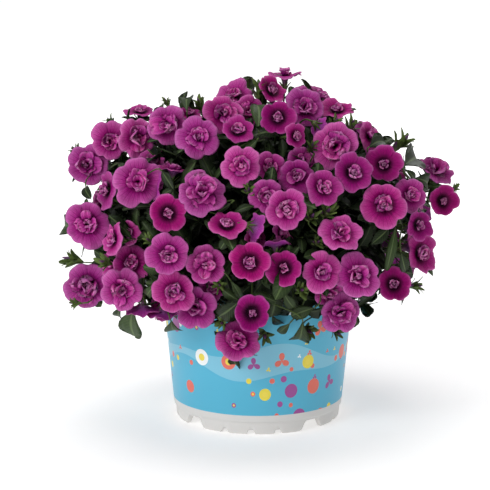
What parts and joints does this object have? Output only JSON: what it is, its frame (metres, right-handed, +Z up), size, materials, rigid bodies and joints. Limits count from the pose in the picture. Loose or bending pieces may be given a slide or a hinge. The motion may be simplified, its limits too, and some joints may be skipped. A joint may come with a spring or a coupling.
{
  "type": "flowering plant in a pot",
  "caption": "Double-flowered calibrachoa in a round printed plastic pot: a wide mound of leafy shoots with lobed blooms that arch over the rim.",
  "frame": {"origin": "on the surface that the pot stands on, under the pot's axis, which is also under the middle of the whole", "axes": "+Z up along the pot's axis; -Y is the front, towards the picture's camera; +X to the right as seen from the front"},
  "size_m": [0.3521, 0.335, 0.3039],
  "materials": {
    "printed_plastic": "satin, sky-blue print with small motifs on white plastic",
    "potting_soil": "crumbly dark peat",
    "calibrachoa": "soft matte petals in magenta, with dark green leaves and stems"
  },
  "bodies": {
    "root": {"pot": "printed_plastic", "potting_soil": "potting_soil", "shoot_01": "calibrachoa", "shoot_02": "calibrachoa", "shoot_03": "calibrachoa", "shoot_04": "calibrachoa", "shoot_05": "calibrachoa", "shoot_06": "calibrachoa", "shoot_07": "calibrachoa", "shoot_08": "calibrachoa", "shoot_09": "calibrachoa", "shoot_10": "calibrachoa", "shoot_11": "calibrachoa", "shoot_12": "calibrachoa", "shoot_13": "calibrachoa", "shoot_14": "calibrachoa", "shoot_15": "calibrachoa", "shoot_16": "calibrachoa", "shoot_17": "calibrachoa", "shoot_18": "calibrachoa", "shoot_19": "calibrachoa", "shoot_20": "calibrachoa", "shoot_21": "calibrachoa", "shoot_22": "calibrachoa", "shoot_23": "calibrachoa", "shoot_24": "calibrachoa", "shoot_25": "calibrachoa", "shoot_26": "calibrachoa", "shoot_27": "calibrachoa", "shoot_28": "calibrachoa", "shoot_29": "calibrachoa", "shoot_30": "calibrachoa", "shoot_31": "calibrachoa", "shoot_32": "calibrachoa", "shoot_33": "calibrachoa", "shoot_34": "calibrachoa", "shoot_35": "calibrachoa", "shoot_36": "calibrachoa", "shoot_37": "calibrachoa", "shoot_38": "calibrachoa", "shoot_39": "calibrachoa", "shoot_40": "calibrachoa", "shoot_41": "calibrachoa", "shoot_42": "calibrachoa", "shoot_43": "calibrachoa", "shoot_44": "calibrachoa", "shoot_45": "calibrachoa", "shoot_46": "calibrachoa", "shoot_47": "calibrachoa", "shoot_48": "calibrachoa", "shoot_49": "calibrachoa"}
  },
  "joints": []
}
